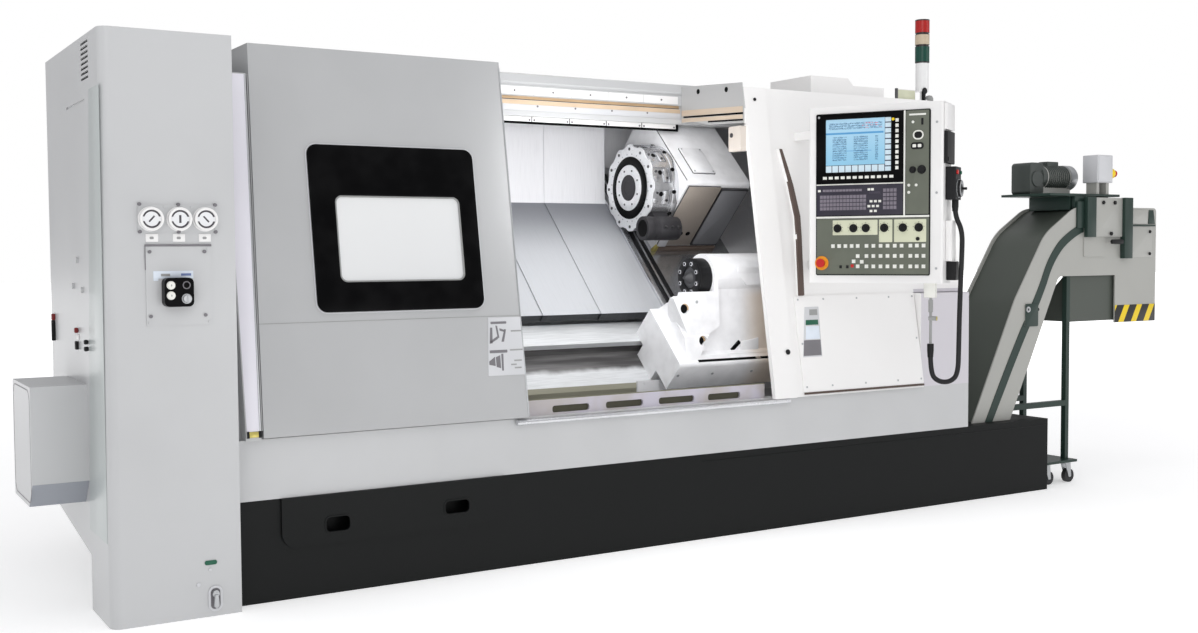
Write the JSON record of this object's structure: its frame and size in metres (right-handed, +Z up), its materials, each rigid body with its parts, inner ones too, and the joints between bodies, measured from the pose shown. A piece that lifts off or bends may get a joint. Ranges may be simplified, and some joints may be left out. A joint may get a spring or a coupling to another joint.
{
  "type": "cnc turning lathe",
  "caption": "Slant-bed turning lathe with sliding door, turret on telescopic way covers, tailstock, swinging control panel and inclined chip conveyor.",
  "frame": {"origin": "centre of the footprint on the floor", "axes": "+X to the right along the machine as its operator faces it, +Y towards its rear, +Z up"},
  "size_m": [6.142, 2.3558, 2.529],
  "materials": {
    "cabinet_paint": "satin light grey",
    "door_paint": "satin mid grey",
    "dark_paint": "satin near black",
    "white_paint": "satin off-white",
    "stainless": "brushed",
    "machined_steel": "ground",
    "casting": "painted casting",
    "dark_steel": "oiled dark",
    "glass_grey": "laminated",
    "black_plastic": "matte",
    "screen": "gloss",
    "red_plastic": "gloss",
    "lens": "clear coloured lenses",
    "gauge": "gauge with glass face",
    "conveyor_grey": "satin grey",
    "conveyor_dark": "satin dark green-grey",
    "hose_rubber": "matte",
    "caster_rubber": "matte",
    "zinc": "zinc plated"
  },
  "bodies": {
    "machine": {"cabinet_shell": "cabinet_paint", "pressure_gauges": "gauge", "switch_block": "black_plastic", "plinth_tank": "dark_paint", "tank_access_cover": "dark_paint", "base_skirt": "cabinet_paint", "door_guide_rail": "machined_steel", "housing_walls": "cabinet_paint", "top_beam": "cabinet_paint", "bed_casting": "stainless", "headstock_casting": "casting", "fixed_covers": "stainless", "left_front_panel": "cabinet_paint", "door_sill": "stainless", "right_pillar": "white_paint", "right_housing": "white_paint", "top_hood": "white_paint", "signal_tower": "lens", "panel_bracket": "cabinet_paint", "conveyor_plates": "conveyor_grey", "conveyor_trunk": "conveyor_dark", "conveyor_leg": "conveyor_grey", "conveyor_drive": "conveyor_grey"},
    "key": {"key_switch": "zinc"},
    "door": {"door_panel": "door_paint", "door_glass": "glass_grey"},
    "inner_leaf": {"inner_leaf": "door_paint"},
    "spindle": {"chuck_body": "machined_steel"},
    "jaw_1": {"chuck_jaw_1": "dark_steel"},
    "jaw_2": {"chuck_jaw_2": "dark_steel"},
    "jaw_3": {"chuck_jaw_3": "dark_steel"},
    "carriage": {"carriage_covers": "stainless", "saddle": "machined_steel"},
    "left_cover_1": {"left_cover_1": "stainless"},
    "left_cover_2": {"left_cover_2": "stainless"},
    "right_cover_1": {"right_cover_1": "stainless"},
    "cross_slide": {"turret_housing": "casting", "turret_end_covers": "dark_steel"},
    "turret": {"turret_drum": "machined_steel", "tool_holder": "dark_steel"},
    "tailstock": {"tailstock_body": "casting"},
    "quill": {"quill": "dark_steel"},
    "control_panel": {"panel_housing": "white_paint", "panel_face": "dark_paint", "panel_screen": "screen", "panel_side_units": "black_plastic", "air_hose": "hose_rubber"},
    "panel_estop": {"estop_button": "red_plastic"},
    "handwheel": {"handwheel": "black_plastic"},
    "conveyor_estop": {"conveyor_estop": "red_plastic"},
    "caster_fork_1": {"caster_fork_1": "zinc"},
    "caster_wheel_1": {"caster_wheel_1": "caster_rubber"},
    "caster_fork_2": {"caster_fork_2": "zinc"},
    "caster_wheel_2": {"caster_wheel_2": "caster_rubber"},
    "selector_1": {"selector_knob_1": "black_plastic"},
    "selector_2": {"selector_knob_2": "black_plastic"},
    "selector_3": {"selector_knob_3": "black_plastic"},
    "selector_4": {"selector_knob_4": "black_plastic"},
    "selector_5": {"selector_knob_5": "black_plastic"},
    "selector_6": {"selector_knob_6": "black_plastic"}
  },
  "joints": [
    {"name": "door_slide", "type": "slide", "parent": "machine", "child": "door", "axis": [1, 0, 0], "range_m": [0, 1.27]},
    {"name": "inner_leaf_slide", "type": "slide", "parent": "machine", "child": "inner_leaf", "axis": [1, 0, 0], "range_m": [0, 0.635]},
    {"name": "spindle_spin", "type": "hinge", "parent": "machine", "child": "spindle", "pos_m": [-1.424, -0.15207, 1.187], "axis": [1, 0, 0], "continuous": true},
    {"name": "jaw_1_slide", "type": "slide", "parent": "spindle", "child": "jaw_1", "axis": [0, 0, -1], "range_m": [0, 0.025]},
    {"name": "jaw_2_slide", "type": "slide", "parent": "spindle", "child": "jaw_2", "axis": [0, 0.866, 0.5], "range_m": [0, 0.025]},
    {"name": "jaw_3_slide", "type": "slide", "parent": "spindle", "child": "jaw_3", "axis": [0, -0.866, 0.5], "range_m": [0, 0.025]},
    {"name": "carriage_slide", "type": "slide", "parent": "machine", "child": "carriage", "axis": [-1, 0, 0], "range_m": [0, 0.85]},
    {"name": "left_cover_1_slide", "type": "slide", "parent": "machine", "child": "left_cover_1", "axis": [-1, 0, 0], "range_m": [0, 0.28333]},
    {"name": "left_cover_2_slide", "type": "slide", "parent": "machine", "child": "left_cover_2", "axis": [-1, 0, 0], "range_m": [0, 0.56667]},
    {"name": "right_cover_1_slide", "type": "slide", "parent": "machine", "child": "right_cover_1", "axis": [-1, 0, 0], "range_m": [0, 0.425]},
    {"name": "cross_slide_travel", "type": "slide", "parent": "carriage", "child": "cross_slide", "axis": [0, -0.7071, -0.7071], "range_m": [-0.03, 0.16]},
    {"name": "turret_index", "type": "hinge", "parent": "cross_slide", "child": "turret", "pos_m": [-0.074, 0.29695, 1.63601], "axis": [1, 0, 0], "range_deg": [-105, 30]},
    {"name": "tailstock_slide", "type": "slide", "parent": "machine", "child": "tailstock", "axis": [-1, 0, 0], "range_m": [0, 0.6]},
    {"name": "quill_slide", "type": "slide", "parent": "tailstock", "child": "quill", "axis": [-1, 0, 0], "range_m": [0, 0.12]},
    {"name": "panel_swing", "type": "hinge", "parent": "machine", "child": "control_panel", "pos_m": [0.44518, -0.55905, 1.5], "axis": [0, 0, 1], "range_deg": [-15, 60]},
    {"name": "panel_estop_press", "type": "slide", "parent": "control_panel", "child": "panel_estop", "axis": [0.8625, 0.506, 0], "range_m": [0, 0.006]},
    {"name": "handwheel_turn", "type": "hinge", "parent": "control_panel", "child": "handwheel", "pos_m": [0.67496, -1.13843, 1.588], "axis": [0.506, -0.8625, 0], "continuous": true},
    {"name": "key_turn", "type": "hinge", "parent": "machine", "child": "key", "pos_m": [-2.604, -0.62207, 1.158], "axis": [0, 1, 0], "range_deg": [0, 90]},
    {"name": "conveyor_estop_press", "type": "slide", "parent": "machine", "child": "conveyor_estop", "axis": [-1, 0, 0], "range_m": [0, 0.006]},
    {"name": "selector_1_turn", "type": "hinge", "parent": "control_panel", "child": "selector_1", "pos_m": [0.31528, -0.74077, 1.415], "axis": [0.8625, 0.506, 0], "range_deg": [-120, 120]},
    {"name": "selector_2_turn", "type": "hinge", "parent": "control_panel", "child": "selector_2", "pos_m": [0.35323, -0.80546, 1.415], "axis": [0.8625, 0.506, 0], "range_deg": [-120, 120]},
    {"name": "selector_3_turn", "type": "hinge", "parent": "control_panel", "child": "selector_3", "pos_m": [0.38258, -0.85548, 1.415], "axis": [0.8625, 0.506, 0], "range_deg": [-120, 120]},
    {"name": "selector_4_turn", "type": "hinge", "parent": "control_panel", "child": "selector_4", "pos_m": [0.42559, -0.9288, 1.415], "axis": [0.8625, 0.506, 0], "range_deg": [-120, 120]},
    {"name": "selector_5_turn", "type": "hinge", "parent": "control_panel", "child": "selector_5", "pos_m": [0.4686, -1.00211, 1.415], "axis": [0.8625, 0.506, 0], "range_deg": [-120, 120]},
    {"name": "selector_6_turn", "type": "hinge", "parent": "control_panel", "child": "selector_6", "pos_m": [0.50504, -1.06421, 1.415], "axis": [0.8625, 0.506, 0], "range_deg": [-120, 120]},
    {"name": "caster_1_swivel", "type": "hinge", "parent": "machine", "child": "caster_fork_1", "pos_m": [2.156, -0.39707, 0.112], "axis": [0, 0, 1], "continuous": true},
    {"name": "caster_1_roll", "type": "hinge", "parent": "caster_fork_1", "child": "caster_wheel_1", "pos_m": [2.176, -0.39707, 0.0375], "axis": [0, 1, 0], "continuous": true},
    {"name": "caster_2_swivel", "type": "hinge", "parent": "machine", "child": "caster_fork_2", "pos_m": [2.326, -0.39707, 0.112], "axis": [0, 0, 1], "continuous": true},
    {"name": "caster_2_roll", "type": "hinge", "parent": "caster_fork_2", "child": "caster_wheel_2", "pos_m": [2.346, -0.39707, 0.0375], "axis": [0, 1, 0], "continuous": true}
  ],
  "couplings": [
    {"joint": "inner_leaf_slide", "follows": "door_slide", "ratio": 0.5},
    {"joint": "jaw_2_slide", "follows": "jaw_1_slide", "ratio": 1},
    {"joint": "jaw_3_slide", "follows": "jaw_1_slide", "ratio": 1},
    {"joint": "left_cover_1_slide", "follows": "carriage_slide", "ratio": 0.33333},
    {"joint": "left_cover_2_slide", "follows": "carriage_slide", "ratio": 0.66667},
    {"joint": "right_cover_1_slide", "follows": "carriage_slide", "ratio": 0.5}
  ]
}
